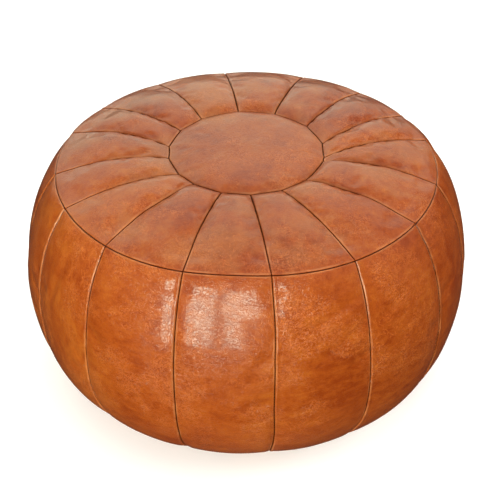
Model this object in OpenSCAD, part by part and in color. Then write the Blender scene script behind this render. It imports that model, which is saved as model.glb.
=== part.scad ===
// Round leather pouf: sixteen petals and sixteen side panels sewn round a plain top disc,
// with a zipped base, a calico inner bag and a soft filling.
// Millimetres, +Z up. The origin is the centre of the underside, on the floor.

/* [Cover] */
// Diameter at the belly, the widest part of the side
cover_d = 562; // [556:1:570]
// Height from the floor to the middle of the top disc
cover_h = 319; // [317:1:323]
// Radius of the seam between the petals and the side panels
rim_seam_r = 239; // [236:1:242]
// Height of that seam
rim_seam_h = 289; // [286:1:292]
// Radius of the seam round the top disc
disc_seam_r = 98; // [94:1:104]
// Height of that seam
disc_seam_h = 311; // [309:1:313]
// Radius of the seam between the side panels and the base
base_seam_r = 196; // [194:1:200]
// Height of that seam
base_seam_h = 2.5; // [2.4:0.1:4]
// How far the middle of a petal stands above a straight line between its two round seams
petal_rise = 13; // [8:1:18]
// Thickness of the leather
leather_t = 2; // [1.4:0.1:2.4]
// Gap between the leather edges at a seam
seam_gap = 0.6; // [0.4:0.1:1.2]

/* [Zip] */
// Length of the zip, from the outside of one stop to the outside of the other
zip_length = 290; // [240:2:296]
// Distance from one tooth to the next along one side
tooth_pitch = 3; // [2.8:0.1:3.4]
// How deep the zip is recessed into the base
zip_recess = 10; // [10:0.5:12]
// Length of the pull, from its pivot to its tip
pull_length = 27; // [20:1:27]
// Droop of the resting pull below level, in degrees
pull_droop = 13; // [8:1:13]

/* [Inside] */
// Space between the outside of the leather and the inner bag
bag_inset = 5; // [4.6:0.1:6]
// Thickness of the inner bag's calico
calico_t = 1; // [0.6:0.1:1.2]
// Gap between the inner bag and the filling
filling_gap = 1.2; // [1:0.1:2]

/* [Hidden] */
// The seams were laid out by hand, so their spacing is uneven. Both lists run
// anticlockwise from +X, in degrees: at the rim, and at the top disc.
rim_angles = [15, 31, 50, 71, 97, 120, 143, 160, 184, 203, 226, 252, 277, 302, 328, 350];
disc_angles = [-8, 11, 38, 68, 96, 126, 149, 173, 189, 212, 229, 252, 273, 296, 318, 347];
panel_count = len(rim_angles);

function two_digits(i) = str(i < 9 ? "0" : "", i + 1);
petal_names = [for (i = [0:panel_count - 1]) str("top_petal_", two_digits(i))];
side_names = [for (i = [0:panel_count - 1]) str("side_panel_", two_digits(i))];
cover_names = ["top_disc", "base_panel_front", "base_panel_rear"];
zip_names = ["zip_tape_front", "zip_tape_rear", "zip_teeth_front", "zip_teeth_rear",
    "zip_top_stops", "zip_bottom_stop", "zip_slider", "zip_pull"];
thread_names = ["thread_top_disc", "thread_petals", "thread_rim", "thread_sides",
    "thread_base", "thread_zip"];
inner_names = ["inner_bag_top", "inner_bag_side", "inner_bag_base", "filling"];
$fn = 96;

leather = [0.72, 0.40, 0.17];
leather_light = [0.78, 0.46, 0.22];
thread_brown = [0.30, 0.15, 0.07];
tape_brown = [0.33, 0.18, 0.09];
antique_brass = [0.62, 0.47, 0.24];
calico = [0.90, 0.86, 0.76];
wadding = [0.93, 0.91, 0.86];

petal_steps = 8;
disc_steps = 5;
side_steps = 16;
tiny = 0.01;
reach = 400;
// How far a cut runs past the solid that it cuts
overshoot = 1;

// Stitching thread, and how far below the leather it lies
thread_t = 1.2;
thread_w = 0.8;
thread_depth = leather_t + 0.8;
// Space between the zip's stitches and what they hold, and the ends of the other seams' threads
stitch_gap = 0.3;
seam_end = 3;
side_thread_start = 0.02;
side_thread_end = 0.97;

// Control points of the side's outline, as [radius, height]
side_top = [rim_seam_r, rim_seam_h];
side_shoulder = [cover_d / 2 + 23.5, rim_seam_h - 72];
side_belly = [cover_d / 2 + 15.5, base_seam_h + 13.5];
side_foot = [base_seam_r, base_seam_h];
side_start = 0.002;

// A petal's outline runs past its two round seams by this much, and bulges past the rim
petal_overrun = 9;
petal_bulge = 1.2;

// The recess round the zip: a shallow pan in the base with sloping sides and ends
pan_floor_x = 165;
pan_floor_y = 17;
pan_mouth_x = 184;
pan_mouth_y = 40;
slot_x = zip_length / 2 + 3;
slot_y = 8;
base_r = base_seam_r - 3;
base_joint = 0.5;

// Zip levels, worked up from the outside of the leather round the slot
tape_t = 0.8;
tape_low = zip_recess + leather_t + 0.2;
tape_mid = tape_low + tape_t / 2;
tape_edge_y = 1.6;
tape_outer_y = 16;
tape_end_x = zip_length / 2 + 10;
stitch_y = 12;
tooth_h = 4;
tooth_t = 1.2;
tooth_root_y = 3.5;
tooth_head_y = 1.2;
clamp_y = 4.2;
clamp_h = 3.2;
clamp_inner_y = 0.8;
clamp_play = 0.1;
stop_length = 4;
// From the bottom stop to the first tooth, and from the last tooth to the slider's post
tooth_start_gap = 1;
tooth_end_gap = 0.4;

// Slider, with its middle at slider_x when the zip is closed, a little short of the top stops
slider_half = 6;
slider_rest_gap = 1.5;
slider_x = zip_length / 2 - stop_length - slider_rest_gap - slider_half;
plate_t = 1.3;
channel_h = 4.6;
channel_low = tape_mid - channel_h / 2;
tail_y = 5.4;
nose_y = 6.8;
flange_w = 1.5;
flange_h = 1.4;
post_x = 3.8;
post_y = 1.3;
post_inset = 0.2;
bridge_x = 5.2;
bridge_y = 1.2;
bridge_t = 1.4;
bridge_h = 4.1;
bridge_low = channel_low - plate_t - bridge_h;

// Pull, hinged on a bar that passes between the bridge and the slider
pull_lift = 1;
pull_pivot_z = bridge_low + bridge_t + pull_lift;
pull_t = 1.6;
pull_w = 8;
pull_bar_d = 1.4;
pull_back = 1;
window_end = 6.6;
window_w = 3.4;
grip_hole_d = 3.6;
grip_hole_inset = 0.6;

function polar(r, a) = [r * cos(a), r * sin(a)];
function unit(v) = v / norm(v);
function turned(v) = [-v.y, v.x];

// Height of the petals' upper face, and of the top disc's, at radius r
function petal_z(r) =
    let (u = (r - disc_seam_r) / (rim_seam_r - disc_seam_r))
    disc_seam_h + u * (rim_seam_h - disc_seam_h) + 4 * petal_rise * u * (1 - u);
function disc_z(r) =
    cover_h - (cover_h - disc_seam_h) * pow(r / disc_seam_r, 2);
function top_z(r) = r < disc_seam_r ? disc_z(r) : petal_z(r);

// Point t (0 at the rim, 1 at the foot) on the side's outline, and the way out from it
function side_point(t) =
    pow(1 - t, 3) * side_top + 3 * t * pow(1 - t, 2) * side_shoulder
    + 3 * t * t * (1 - t) * side_belly + pow(t, 3) * side_foot;
function side_heading(t) =
    pow(1 - t, 2) * (side_shoulder - side_top)
    + 2 * t * (1 - t) * (side_belly - side_shoulder)
    + t * t * (side_foot - side_belly);
function side_outward(t) = turned(unit(side_heading(t)));
function side_inset(t, depth) = side_point(t) - depth * side_outward(t);

// A seam between two petals, as its end points in plan
function seam_inner(i) = polar(disc_seam_r, disc_angles[i % panel_count]);
function seam_outer(i) = polar(rim_seam_r, rim_angles[i % panel_count]);
function seam_along(i) = unit(seam_outer(i) - seam_inner(i));
function seam_side(i) = seam_gap / 2 * turned(seam_along(i));

function steps(from, to, n) = [for (k = [0:n]) from + (to - from) * k / n];
function first_of(list, n) = [for (k = [0:n - 1]) list[k]];

// Radii from r0 to r1 across the top, with one of them at the disc's seam if that lies between
function top_radii(r0, r1) =
    r0 < disc_seam_r && r1 > disc_seam_r
    ? concat(first_of(steps(r0, disc_seam_r, disc_steps), disc_steps),
        steps(disc_seam_r, r1, petal_steps))
    : steps(r0, r1, petal_steps);
function backwards(list) = [for (k = [len(list) - 1:-1:0]) list[k]];

// Outline, as [radius, height], of a skin under the top face from radius r0 to r1,
// between two depths
module top_skin(r0, r1, depth, t) {
    radii = top_radii(r0, r1);
    polygon(concat(
        [for (r = radii) [r, top_z(r) - depth]],
        [for (r = backwards(radii)) [r, top_z(r) - depth - t]]));
}

// The same for the side, from t0 to t1 along its outline
module side_skin(t0, t1, depth, t) {
    places = steps(t0, t1, side_steps);
    polygon(concat(
        [for (p = places) side_inset(p, depth)],
        [for (p = backwards(places)) side_inset(p, depth + t)]));
}

// A block with sloping sides and ends, from z0 to z1: half lengths at its foot and at its top
module pan(foot_x, foot_y, top_x, top_y, z0, z1) {
    intersection() {
        rotate([90, 0, 0])
            linear_extrude(reach, center = true)
                polygon([[-foot_x, z0], [foot_x, z0], [top_x, z1], [-top_x, z1]]);
        rotate([90, 0, 90])
            linear_extrude(2 * reach, center = true)
                polygon([[-foot_y, z0], [foot_y, z0], [top_y, z1], [-top_y, z1]]);
    }
}

// The pan, raised and widened by grow, with its slopes carried down to z0
module recess(grow, z0) {
    slope_x = (pan_mouth_x - pan_floor_x) / zip_recess;
    slope_y = (pan_mouth_y - pan_floor_y) / zip_recess;
    drop = zip_recess + grow - z0;
    pan(pan_floor_x + grow + slope_x * drop, pan_floor_y + grow + slope_y * drop,
        pan_floor_x + grow, pan_floor_y + grow, z0, zip_recess + grow);
}

module side_of_centre(side, gap) {
    translate([-reach, side > 0 ? gap : -gap - reach, -reach])
        cube([2 * reach, reach, 2 * reach]);
}

module top_disc() {
    color(leather)
        rotate_extrude()
            top_skin(0, disc_seam_r - seam_gap, 0, leather_t);
}

module top_petal(i) {
    outer = rim_seam_r - leather_t;
    color(i % 2 == 0 ? leather : leather_light)
        intersection() {
            rotate_extrude()
                top_skin(disc_seam_r + seam_gap, outer, 0, leather_t);
            linear_extrude(reach)
                polygon([
                    seam_inner(i) - petal_overrun * seam_along(i) + seam_side(i),
                    seam_outer(i) + petal_overrun * seam_along(i) + seam_side(i),
                    petal_bulge * (seam_outer(i) + seam_outer(i + 1)) / 2,
                    seam_outer(i + 1) + petal_overrun * seam_along(i + 1) - seam_side(i + 1),
                    seam_inner(i + 1) - petal_overrun * seam_along(i + 1) - seam_side(i + 1)]);
        }
}

module side_panel(i) {
    start = rim_angles[i];
    span = (rim_angles[(i + 1) % panel_count] - start + 360) % 360;
    gap = seam_gap / (cover_d / 2) * 180 / PI;
    color(i % 2 == 0 ? leather : leather_light)
        rotate([0, 0, start + gap / 2])
            rotate_extrude(angle = span - gap)
                side_skin(side_start, 1, 0, leather_t);
}

module base_panel(side) {
    color(leather)
        difference() {
            intersection() {
                union() {
                    cylinder(r = base_r, h = leather_t, $fn = 180);
                    recess(leather_t, tiny);
                }
                side_of_centre(side, base_joint / 2);
                cylinder(r = base_r, h = reach, $fn = 180);
            }
            recess(0, -1);
            translate([-slot_x, -slot_y, 0])
                cube([2 * slot_x, 2 * slot_y, reach]);
        }
}

// Outline of one zip tooth across the zip, gripping the tape's edge on the -Y side
module tooth_outline() {
    difference() {
        translate([-tooth_root_y, tape_mid - tooth_h / 2])
            square([tooth_root_y + tooth_head_y, tooth_h]);
        tape_slot(tooth_root_y);
    }
}

module tape_slot(outer_y) {
    translate([-outer_y - overshoot, tape_low - clamp_play])
        square([outer_y + overshoot - tape_edge_y + 2 * clamp_play, tape_t + 2 * clamp_play]);
}

// Outline of a stop clamped on one tape's edge, on the -Y side
module clamp_outline() {
    difference() {
        translate([-clamp_y, tape_mid - clamp_h / 2])
            square([clamp_y - clamp_inner_y, clamp_h]);
        tape_slot(clamp_y);
    }
}

// Turns an outline drawn across the zip into a solid that runs along it
module along_zip(x, length) {
    translate([x, 0, 0])
        rotate([90, 0, 90])
            linear_extrude(length)
                children();
}

module zip_tape(side) {
    color(tape_brown)
        translate([-tape_end_x, side > 0 ? tape_edge_y : -tape_outer_y, tape_low])
            cube([2 * tape_end_x, tape_outer_y - tape_edge_y, tape_t]);
}

module zip_teeth(side) {
    offset = side > 0 ? tooth_pitch / 2 : 0;
    first = -zip_length / 2 + stop_length + tooth_start_gap + offset;
    last = slider_x + post_x - tooth_t - tooth_end_gap;
    color(antique_brass)
        for (x = [first:tooth_pitch:last])
            along_zip(x, tooth_t)
                mirror([side > 0 ? 1 : 0, 0])
                    tooth_outline();
}

module zip_top_stops() {
    color(antique_brass)
        for (side = [0, 1])
            along_zip(zip_length / 2 - stop_length, stop_length)
                mirror([side, 0])
                    clamp_outline();
}

module zip_bottom_stop() {
    color(antique_brass)
        along_zip(-zip_length / 2, stop_length)
            difference() {
                translate([-clamp_y, tape_mid - clamp_h / 2])
                    square([2 * clamp_y, clamp_h]);
                for (side = [0, 1])
                    mirror([side, 0])
                        tape_slot(clamp_y);
            }
}

module slider_plate() {
    linear_extrude(plate_t)
        slider_outline(0);
}

// Outline of the slider, wide at its nose, drawn in by inset on both sides
module slider_outline(inset) {
    polygon([
        [-slider_half, -tail_y + inset], [0, -tail_y + inset],
        [post_x, -nose_y + inset], [slider_half, -nose_y + inset],
        [slider_half, nose_y - inset], [post_x, nose_y - inset],
        [0, tail_y - inset], [-slider_half, tail_y - inset]]);
}

module slider_flanges() {
    linear_extrude(flange_h)
        difference() {
            slider_outline(0);
            scale([2, 1])
                slider_outline(flange_w);
        }
}

module zip_slider() {
    color(antique_brass)
        translate([slider_x, 0, 0]) {
            translate([0, 0, channel_low - plate_t])
                slider_plate();
            translate([0, 0, channel_low - tiny])
                slider_flanges();
            translate([0, 0, channel_low + channel_h])
                slider_plate();
            translate([0, 0, channel_low + channel_h - flange_h + tiny])
                slider_flanges();
            translate([post_x, -post_y, channel_low - tiny])
                cube([slider_half - post_x - post_inset, 2 * post_y, channel_h + 2 * tiny]);
            slider_bridge();
        }
}

// The loop under the slider that holds the pull's bar
module slider_bridge() {
    inner = bridge_x - bridge_t;
    difference() {
        translate([-bridge_x, -bridge_y, bridge_low])
            cube([2 * bridge_x, 2 * bridge_y, bridge_h + tiny]);
        translate([-inner, -reach / 2, bridge_low + bridge_t])
            cube([2 * inner, reach, bridge_h - bridge_t]);
    }
}

// Outline of the pull in plan, with its pivot at the origin and its tip towards -X
module pull_outline() {
    difference() {
        union() {
            translate([-pull_length + pull_w / 2, 0])
                circle(d = pull_w, $fn = 48);
            translate([-pull_length + pull_w / 2, -pull_w / 2])
                square([pull_length - pull_w / 2 + pull_back, pull_w]);
        }
        translate([-window_end, -window_w / 2])
            square([window_end + pull_back + overshoot, window_w]);
        translate([-pull_length + pull_w / 2 + grip_hole_inset, 0])
            circle(d = grip_hole_d, $fn = 48);
    }
}

module zip_pull() {
    color(antique_brass)
        translate([slider_x, 0, pull_pivot_z])
            rotate([0, -pull_droop, 0]) {
                linear_extrude(pull_t, center = true)
                    pull_outline();
                rotate([90, 0, 0])
                    cylinder(d = pull_bar_d, h = window_w + pull_back, center = true, $fn = 48);
            }
}

// Threads lie just inside the leather, along the turned-in edges of each seam
module thread_ring(r, z) {
    rotate_extrude()
        translate([r - thread_w / 2, z - thread_t])
            square([thread_w, thread_t]);
}

module thread_top_disc() {
    color(thread_brown)
        thread_ring(disc_seam_r, disc_seam_h - thread_depth);
}

module thread_rim() {
    r = rim_seam_r - 2 * leather_t;
    color(thread_brown)
        thread_ring(r, petal_z(r) - thread_depth);
}

module thread_base() {
    color(thread_brown)
        thread_ring(base_r - leather_t, leather_t + stitch_gap + thread_t);
}

module thread_petals() {
    color(thread_brown)
        for (i = [0:panel_count - 1]) {
            start = seam_inner(i);
            along = seam_along(i);
            length = norm(seam_outer(i) - start) - 3 * leather_t;
            places = steps(seam_end, length, petal_steps);
            translate([start.x, start.y, 0])
                rotate([90, 0, atan2(along.y, along.x)])
                    linear_extrude(thread_w, center = true)
                        polygon(concat(
                            [for (s = places) [s, thread_z(start, along, s)]],
                            [for (s = backwards(places)) [s, thread_z(start, along, s) - thread_t]]));
        }
}

function thread_z(start, along, s) = petal_z(norm(start + s * along)) - thread_depth;

module thread_sides() {
    width = thread_w / (cover_d / 2) * 180 / PI;
    color(thread_brown)
        for (a = rim_angles)
            rotate([0, 0, a - width / 2])
                rotate_extrude(angle = width)
                    side_skin(side_thread_start, side_thread_end, thread_depth, thread_t);
}

// Two rows on each side of the zip: one outside the leather and one inside the tape
module thread_zip() {
    color(thread_brown)
        for (side = [-1, 1])
            for (z = [zip_recess - stitch_gap - thread_w, tape_low + tape_t + stitch_gap])
                translate([-slot_x, side * stitch_y - thread_t / 2, z])
                    cube([2 * slot_x, thread_t, thread_w]);
}

bag_top_r = rim_seam_r - 3;
bag_base_r = base_r - 7;
bag_low = bag_inset + 0.4;
bag_side_start = 0.015;
bag_side_end = 0.96;
filling_side_start = 0.03;
filling_side_end = 0.93;
filling_edge = 4;
// The bag and the filling are pushed up over the zip, clear of the slider
zip_headroom = 2;
filling_depth = bag_inset + calico_t + filling_gap;

module inner_bag_top() {
    color(calico)
        rotate_extrude()
            top_skin(0, bag_top_r, bag_inset, calico_t);
}

module inner_bag_side() {
    color(calico)
        rotate_extrude()
            side_skin(bag_side_start, bag_side_end, bag_inset, calico_t);
}

module inner_bag_base() {
    lift = bag_low + zip_headroom;
    color(calico)
        difference() {
            union() {
                translate([0, 0, bag_low])
                    cylinder(r = bag_base_r, h = calico_t, $fn = 180);
                intersection() {
                    recess(lift + calico_t, bag_low + tiny);
                    cylinder(r = bag_base_r, h = reach, $fn = 180);
                }
            }
            recess(lift, -1);
        }
}

module filling() {
    low = bag_low + calico_t + filling_gap;
    radii = top_radii(0, bag_top_r - filling_edge);
    places = steps(filling_side_start, filling_side_end, side_steps);
    color(wadding)
        difference() {
            rotate_extrude()
                polygon(concat(
                    [[0, low]],
                    [for (r = radii) [r, top_z(r) - filling_depth]],
                    [for (p = places) side_inset(p, filling_depth)],
                    [[bag_base_r, low]]));
            recess(low + zip_headroom, -1);
        }
}

top_disc();
for (i = [0:panel_count - 1])
    top_petal(i);
for (i = [0:panel_count - 1])
    side_panel(i);
base_panel(-1);  // base_panel_front
base_panel(1);  // base_panel_rear
zip_tape(-1);  // zip_tape_front
zip_tape(1);  // zip_tape_rear
zip_teeth(-1);  // zip_teeth_front
zip_teeth(1);  // zip_teeth_rear
zip_top_stops();
zip_bottom_stop();
zip_slider();
zip_pull();
thread_top_disc();
thread_petals();
thread_rim();
thread_sides();
thread_base();
thread_zip();
inner_bag_top();
inner_bag_side();
inner_bag_base();
filling();
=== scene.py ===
# Round leather pouf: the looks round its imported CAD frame.
# Sixteen puffed petals and sixteen side panels are sewn round a top disc. The panels are shaped
# from their seam network, relaxed by a cloth simulation under pressure, then cut apart, and each
# gets turned-in edges and a thickness. Metres, +Z up, in the frame's own axes.
import math

import bmesh
import bpy
import numpy as np
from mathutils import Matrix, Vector


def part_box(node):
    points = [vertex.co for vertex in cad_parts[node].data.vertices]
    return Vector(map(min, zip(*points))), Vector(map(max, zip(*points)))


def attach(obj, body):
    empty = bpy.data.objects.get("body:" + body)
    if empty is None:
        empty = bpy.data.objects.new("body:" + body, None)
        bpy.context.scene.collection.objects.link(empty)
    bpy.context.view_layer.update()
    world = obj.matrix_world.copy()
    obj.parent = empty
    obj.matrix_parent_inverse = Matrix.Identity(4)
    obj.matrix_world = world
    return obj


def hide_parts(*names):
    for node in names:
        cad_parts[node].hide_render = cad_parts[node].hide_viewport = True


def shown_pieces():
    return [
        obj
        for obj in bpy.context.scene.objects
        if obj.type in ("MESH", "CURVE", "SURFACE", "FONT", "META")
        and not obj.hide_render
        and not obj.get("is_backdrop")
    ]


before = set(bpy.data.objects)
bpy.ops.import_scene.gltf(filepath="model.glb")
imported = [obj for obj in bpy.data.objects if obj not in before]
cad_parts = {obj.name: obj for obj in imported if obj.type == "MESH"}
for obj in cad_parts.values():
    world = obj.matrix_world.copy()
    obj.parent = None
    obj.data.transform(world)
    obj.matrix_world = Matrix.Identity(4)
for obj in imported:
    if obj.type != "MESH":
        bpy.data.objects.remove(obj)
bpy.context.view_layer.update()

MM = 0.001

# -------- the design, from the frame

# Directions of the seams in degrees, anticlockwise from +X, at the rim and at the top disc
RIM_ANGLES = [15, 31, 50, 71, 97, 120, 143, 160, 184, 203, 226, 252, 277, 302, 328, 350]
DISC_ANGLES = [-8, 11, 38, 68, 96, 126, 149, 173, 189, 212, 229, 252, 273, 296, 318, 347]
PANELS = len(RIM_ANGLES)

LEATHER = 2 * MM
BELLY_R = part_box("inner_bag_side")[1].x + 5 * MM
DISC_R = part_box("top_disc")[1].x + 0.6 * MM
DISC_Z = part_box("top_disc")[0].z + LEATHER
RIM_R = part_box("thread_rim")[1].x + 3.6 * MM
RIM_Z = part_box("side_panel_01")[1].z
FOOT_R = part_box("base_panel_front")[1].x + 3 * MM
FOOT_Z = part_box("side_panel_01")[0].z

# The zip's tapes, seen from below: the front one runs from its inner to its outer edge in -Y
TAPE_LOW, TAPE_HIGH = (corner.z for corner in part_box("zip_tape_front"))
TAPE_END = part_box("zip_tape_front")[1].x
TAPE_INNER, TAPE_OUTER = (corner.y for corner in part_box("zip_tape_rear"))

# The recess round the zip, a shallow pan with sloping sides, and the slot in its floor
RECESS = TAPE_LOW - LEATHER - 0.2 * MM
PAN_FLOOR = (TAPE_END + 10 * MM, TAPE_OUTER + 1 * MM)
PAN_SLOPE = (19 * MM, 23 * MM)
SLOT_X = TAPE_END - 7 * MM
SLOT_Y = 8 * MM
BASE_LIFT = 0.4 * MM

# How far the leather stands above its seams
PETAL_SEAM_RISE = 9 * MM
PETAL_PUFF = 7 * MM
DISC_DOME = 8.5 * MM
SIDE_SEAM_SINK = 1.5 * MM
SIDE_PUFF = 2.2 * MM
RIM_SCALLOP = 1 * MM
DISC_SCALLOP = 2 * MM

# Cells of the simulated cover, across and along each panel
ACROSS = 14
PETAL_ROWS = 20
SIDE_ROWS = 40
DISC_ROWS = 12


TINY = 1e-12


def smoothstep(x):
    x = np.clip(x, 0, 1)
    return x * x * (3 - 2 * x)


def unit(v):
    return v / np.maximum(np.linalg.norm(v, axis=-1, keepdims=True), TINY)


def stacked(*parts):
    """Points or directions from their parts."""
    return np.stack(np.broadcast_arrays(*parts), axis=-1)


def radius_of(points):
    return np.hypot(points[..., 0], points[..., 1])


def angle_of(points):
    return np.arctan2(points[..., 1], points[..., 0])


def run_along(path):
    """How far along a path each of its points lies."""
    return np.concatenate([[0], np.cumsum(np.linalg.norm(np.diff(path, axis=0), axis=1))])


def row_lengths(grid):
    """Length of each of a grid's rows, which run along its second axis."""
    return np.linalg.norm(np.diff(grid, axis=1), axis=2).sum(axis=1)


def new_object(name, data):
    """An object with this data, put in the scene."""
    made = bpy.data.objects.new(name, data)
    bpy.context.scene.collection.objects.link(made)
    return made


# -------- smooth random fields

LATTICE = 32

# Seeds of the fields. Where each panel has its own, its number is added.
SEED_PETAL_SEAM = 5
SEED_SIDE_SEAM = 11
SEED_WELT = 77
SEED_LUMPS = 101
SEED_PETAL_PUCKERS = 200
SEED_FEATHERING = 300
SEED_DISC_PUCKERS = 410
SEED_SIDE_PUCKERS = 500
SEED_BASE = 640
SEED_BAG_TOP = 901
SEED_BAG_SIDE = 911
SEED_BAG_BASE = 921
SEED_WADDING = 931
SEED_STEP = 31


def field(points, cell, seed):
    """Smooth random values from -1 to 1 at points, changing over about one cell."""
    table = np.random.default_rng(seed).uniform(-1, 1, (LATTICE, LATTICE, LATTICE))
    scaled = np.asarray(points, float) / cell
    base = np.floor(scaled).astype(int)
    part = smoothstep(scaled - base)
    total = np.zeros(base.shape[:-1])
    for corner in np.ndindex(2, 2, 2):
        index = (base + corner) % LATTICE
        weight = np.prod(np.where(corner, part, 1 - part), axis=-1)
        total += weight * table[index[..., 0], index[..., 1], index[..., 2]]
    return total


def layered(points, cell, seed, layers=3):
    """Several fields, each finer and weaker than the last."""
    total = 0
    for k in range(layers):
        total = total + field(points, cell / 2**k, seed + SEED_STEP * k) / 2**k
    return total


# -------- the seam network

# Radius and height of the side's outline: the rim, the curve's two handles and the foot
SIDE_OUTLINE = np.array([
    [RIM_R, RIM_Z],
    [BELLY_R + 23.5 * MM, RIM_Z - 72 * MM],
    [BELLY_R + 15.5 * MM, FOOT_Z + 13.5 * MM],
    [FOOT_R, FOOT_Z]])
OUTLINE_SAMPLES = 400


def side_curve(t):
    """Radius and height on the side's outline, and its outward normal, at t from rim to foot."""
    t = np.asarray(t, float)[..., None]
    a, b, c, d = SIDE_OUTLINE
    point = (1 - t)**3 * a + 3 * t * (1 - t)**2 * b + 3 * t**2 * (1 - t) * c + t**3 * d
    heading = unit((1 - t)**2 * (b - a) + 2 * t * (1 - t) * (c - b) + t**2 * (d - c))
    return point, stacked(-heading[..., 1], heading[..., 0])


def even_places(count):
    """Places t on the side's outline that are evenly spaced along it."""
    t = np.linspace(0, 1, OUTLINE_SAMPLES)
    length = run_along(side_curve(t)[0])
    return np.interp(np.linspace(0, length[-1], count), length, t)


def seam_height(r):
    """Height of the petals' seams at radius r."""
    u = (r - DISC_R) / (RIM_R - DISC_R)
    return DISC_Z + u * (RIM_Z - DISC_Z) + 4 * PETAL_SEAM_RISE * u * (1 - u)


def top_normal(r):
    """Radial and vertical parts of the outward normal of the surface that holds those seams."""
    u = (r - DISC_R) / (RIM_R - DISC_R)
    slope = (RIM_Z - DISC_Z + 4 * PETAL_SEAM_RISE * (1 - 2 * u)) / (RIM_R - DISC_R)
    return unit(stacked(-slope, 1.0))


def around(radial, vertical, angle):
    """Points or directions from their radial and vertical parts and their angle in radians."""
    return stacked(radial * np.cos(angle), radial * np.sin(angle), vertical)


RIM = np.radians(RIM_ANGLES)
DISC = np.radians(DISC_ANGLES)
RIM_OUT = unit(top_normal(np.array(RIM_R)) + side_curve(0.0)[1])
FOOT_OUT = unit(side_curve(1.0)[1] + np.array([0.2, -1.0]))


# Where one side of the hand-stuffed pouf has settled, how far round and from the rim that
# reaches, and how far it has moved in and up there
SETTLED_AT = math.radians(-93)
SETTLED_HALF = math.radians(20)
SETTLED_REACH = 45 * MM
SETTLED_MOVE = (3 * MM, 3.5 * MM)


def settled(points):
    """Moves points near the rim as the pouf has settled."""
    radius = radius_of(points)
    angle = angle_of(points)
    off = (angle - SETTLED_AT + math.pi) % (2 * math.pi) - math.pi
    near = np.exp(-((radius - RIM_R)**2 + (points[..., 2] - RIM_Z)**2) / SETTLED_REACH**2)
    share = near * np.exp(-(off / SETTLED_HALF)**2)
    inward, up = SETTLED_MOVE
    return points + share[..., None] * around(-inward, up, angle)


def turn(i):
    """Angle to add so that seam i, counted past the last one, keeps growing."""
    return 2 * math.pi * (i // PANELS)


# How far the hand-sewn seams drift from their lines, and how many cells of the random field lie
# between the drifts of one seam and the next
TOP_DRIFT = 1.6 * MM
SIDE_DRIFT = 2.2 * MM
SEAMS_APART = 3.7


def wobble(i, t, cell, seed):
    """A seam's drift from its line, from -1 to 1 and zero at both ends."""
    where = stacked(t / cell, SEAMS_APART * (i % PANELS), 0.0)
    return field(where, 1.0, seed) * np.sin(math.pi * t)


def top_seam(i, v):
    """Radius and angle of petal seam i, at v from the disc to the rim."""
    inner, outer = DISC[i % PANELS] + turn(i), RIM[i % PANELS] + turn(i)
    start = np.array([DISC_R * math.cos(inner), DISC_R * math.sin(inner)])
    end = np.array([RIM_R * math.cos(outer), RIM_R * math.sin(outer)])
    along = unit(end - start)
    sideways = TOP_DRIFT * wobble(i, v, 0.3, SEED_PETAL_SEAM)
    plan = start + v[:, None] * (end - start) + sideways[:, None] * np.array([-along[1], along[0]])
    angle = np.arctan2(plan[:, 1], plan[:, 0])
    angle += 2 * math.pi * np.round((outer - angle) / (2 * math.pi))
    return np.linalg.norm(plan, axis=1), angle


def side_seam(i, t):
    """Angle of side seam i at t from rim to foot."""
    drift = SIDE_DRIFT / BELLY_R * wobble(i, t, 0.16, SEED_SIDE_SEAM)
    return RIM[i % PANELS] + turn(i) + drift


# How steeply panels rise from their seams, as powers: 1 for the softest, down towards 0
PETAL_STEEP = 0.52
SIDE_STEEP = 0.6
SCALLOP_STEEP = 0.8

# A petal's puff is at most this share of its width, and grows over these distances from the disc
# and from the rim. The disc's own edge rises over the last one.
NARROW_PUFF = 0.13
PUFF_FROM_DISC = 20 * MM
PUFF_FROM_RIM = 80 * MM
DISC_EDGE = 11 * MM


def hump(u, power):
    """0 at both edges of a panel and 1 in its middle, steeper at the edges for a low power."""
    return (4 * u * (1 - u)) ** power


def petal_grid(i):
    """Points of petal i, across from seam i to seam i + 1 and out from the disc to the rim."""
    u = np.linspace(0, 1, ACROSS + 1)[:, None]
    v = np.linspace(0, 1, PETAL_ROWS + 1)
    r0, a0 = top_seam(i, v)
    r1, a1 = top_seam(i + 1, v)
    radius = r0 + u * (r1 - r0)
    angle = a0 + u * (a1 - a0)
    width = (a1 - a0) * radius
    length = RIM_R - DISC_R
    ends = smoothstep(v * length / PUFF_FROM_DISC) ** 0.5
    ends = ends * smoothstep((1 - v) * length / PUFF_FROM_RIM) ** 0.85
    puff = np.minimum(PETAL_PUFF, NARROW_PUFF * width) * hump(u, PETAL_STEEP) * ends
    normal = top_normal(radius)
    scallop = RIM_SCALLOP * hump(u, SCALLOP_STEEP) * smoothstep((v - 0.7) / 0.3)
    inward = DISC_SCALLOP * hump(u, SCALLOP_STEEP) * smoothstep((0.25 - v) / 0.25)
    inward = inward * np.minimum(1, width / (30 * MM))
    radial = radius + puff * normal[..., 0] + scallop * RIM_OUT[0] - inward
    height = seam_height(radius) + puff * normal[..., 1] + scallop * RIM_OUT[1]
    return settled(around(radial, height, angle))


def side_grid(i):
    """Points of side panel i, across from seam i to seam i + 1 and down from the rim to the foot."""
    u = np.linspace(0, 1, ACROSS + 1)[:, None]
    t = even_places(SIDE_ROWS + 1)
    angle = side_seam(i, t) + u * (side_seam(i + 1, t) - side_seam(i, t))
    point, normal = side_curve(t)
    ends = smoothstep(t / 0.06) * smoothstep((1 - t) / 0.1)
    puff = (SIDE_PUFF * hump(u, SIDE_STEEP) - SIDE_SEAM_SINK) * ends
    scallop = RIM_SCALLOP * hump(u, SCALLOP_STEEP) * smoothstep((0.12 - t) / 0.12)
    radial = point[:, 0] + puff * normal[:, 0] + scallop * RIM_OUT[0]
    height = point[:, 1] + puff * normal[:, 1] + scallop * RIM_OUT[1]
    return settled(around(radial, height, angle))


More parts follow.
